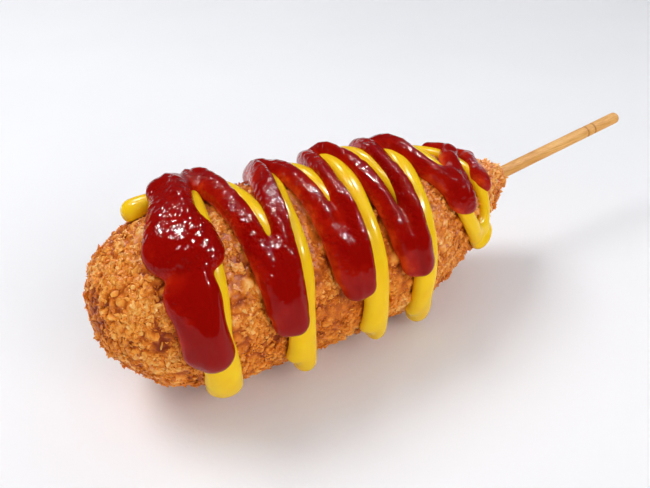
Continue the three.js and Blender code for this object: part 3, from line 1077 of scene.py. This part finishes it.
# The lamps for the glints: name, place, length and power.
LAMPS = (
    ("lamp_back", (0.1, 0.6, 0.75), 0.09, 4.2),
    ("lamp_left", (-0.3, 0.3, 0.8), 0.08, 3.0),
    ("lamp_top", (-0.05, 0.1, 0.8), 0.1, 8.5),
    ("lamp_right", (0.35, 0.05, 0.7), 0.09, 9.5),
    ("lamp_front", (0.4, -0.4, 0.6), 0.08, 11.0),
)
FLOOR_HALF = 2.0


def aim(piece, target):
    piece.rotation_euler = (Vector(target) - piece.location).to_track_quat("-Z", "Y").to_euler()


def add_camera():
    """The photo's view: the camera looks at the middle of the crust from in front, left and above."""
    middle = Vector(((crust_low.x + crust_high.x) / 2, AXIS_Y, (crust_low.z + crust_high.z) / 2))
    target = middle + CAMERA_AIM_OFFSET
    flat = math.cos(CAMERA_ELEVATION)
    way = Vector((
        math.sin(CAMERA_AZIMUTH) * flat, -math.cos(CAMERA_AZIMUTH) * flat, math.sin(CAMERA_ELEVATION)
    ))
    camera = bpy.data.objects.new("camera", bpy.data.cameras.new("camera"))
    camera.data.sensor_width = 36
    camera.data.lens = CAMERA_LENS
    camera.data.clip_start = 0.005
    camera.location = target + way * CAMERA_DISTANCE
    bpy.context.scene.collection.objects.link(camera)
    aim(camera, target)
    bpy.context.scene.camera = camera


def area_light(name, location, target, size, power, mirrored):
    """A mirrored light shows only as a glint on what is glossy. The others never show in a reflection."""
    light = bpy.data.lights.new(name, "AREA")
    light.shape = "RECTANGLE"
    light.size, light.size_y = size
    light.energy = power
    piece = bpy.data.objects.new(name, light)
    piece.location = location
    piece.visible_glossy = mirrored
    piece.visible_diffuse = not mirrored
    bpy.context.scene.collection.objects.link(piece)
    aim(piece, target)


def add_lights():
    """Soft light for shape, and small lamps for the glints."""
    area_light("key", (-0.45, 0.5, 0.95), (0, 0, 0), (0.6, 0.5), 6.9, mirrored=False)
    area_light("fill", (0.1, -0.9, 0.6), (0, 0, 0), (0.8, 0.5), 4.7, mirrored=False)
    for name, location, length, power in LAMPS:
        area_light(name, location, LAMP_TARGET, (length, LAMP_WIDTH), power, mirrored=True)


def add_room():
    """A pale room that is dark in reflections."""
    world = bpy.data.worlds.new("studio")
    world.use_nodes = True
    tree = world.node_tree
    room = tree.nodes["Background"]
    room.inputs["Color"].default_value = (0.94, 0.96, 1.0, 1)
    room.inputs["Strength"].default_value = 0.44
    dark = add_node(tree, "ShaderNodeBackground", {"Color": (0.9, 0.93, 1.0, 1), "Strength": 0.06})
    glossy = add_node(tree, "ShaderNodeLightPath").outputs["Is Glossy Ray"]
    mix = add_node(tree, "ShaderNodeMixShader", {0: glossy, 1: room.outputs[0], 2: dark.outputs[0]})
    tree.links.new(mix.outputs[0], tree.nodes["World Output"].inputs["Surface"])
    bpy.context.scene.world = world


def add_floor():
    half = FLOOR_HALF
    mesh = bpy.data.meshes.new("floor")
    corners = [(-half, -half, 0), (half, -half, 0), (half, half, 0), (-half, half, 0)]
    mesh.from_pydata(corners, [], [(0, 1, 2, 3)])
    mesh.materials.append(floor_material())
    floor = bpy.data.objects.new("floor", mesh)
    bpy.context.scene.collection.objects.link(floor)


# ---------------------------------------------------------------- everything together
def build():
    crumb = crust_material()
    covered = sauce_cover()
    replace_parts(crust_piece(crumb), "crust")
    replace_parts(stick_piece(stick_material()), "stick")
    below = mustard_beads()
    mustard = sauce_piece(
        "mustard", MUSTARD, below, mustard_material(), ridge=0.15, blend=1.6, wrinkle=0.03
    )
    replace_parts(mustard, "mustard")
    ketchup = sauce_piece(
        "ketchup", KETCHUP, ketchup_beads(), ketchup_material(), ridge=0.4, blend=1.8, wrinkle=0.2,
        below=below,
    )
    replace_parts(ketchup, "ketchup")
    for kind in CRUMB_KINDS:
        crumbs(**kind, covered=covered, material=crumb)


add_camera()
add_lights()
add_room()
add_floor()
build()
bpy.context.scene.view_settings.view_transform = "Standard"
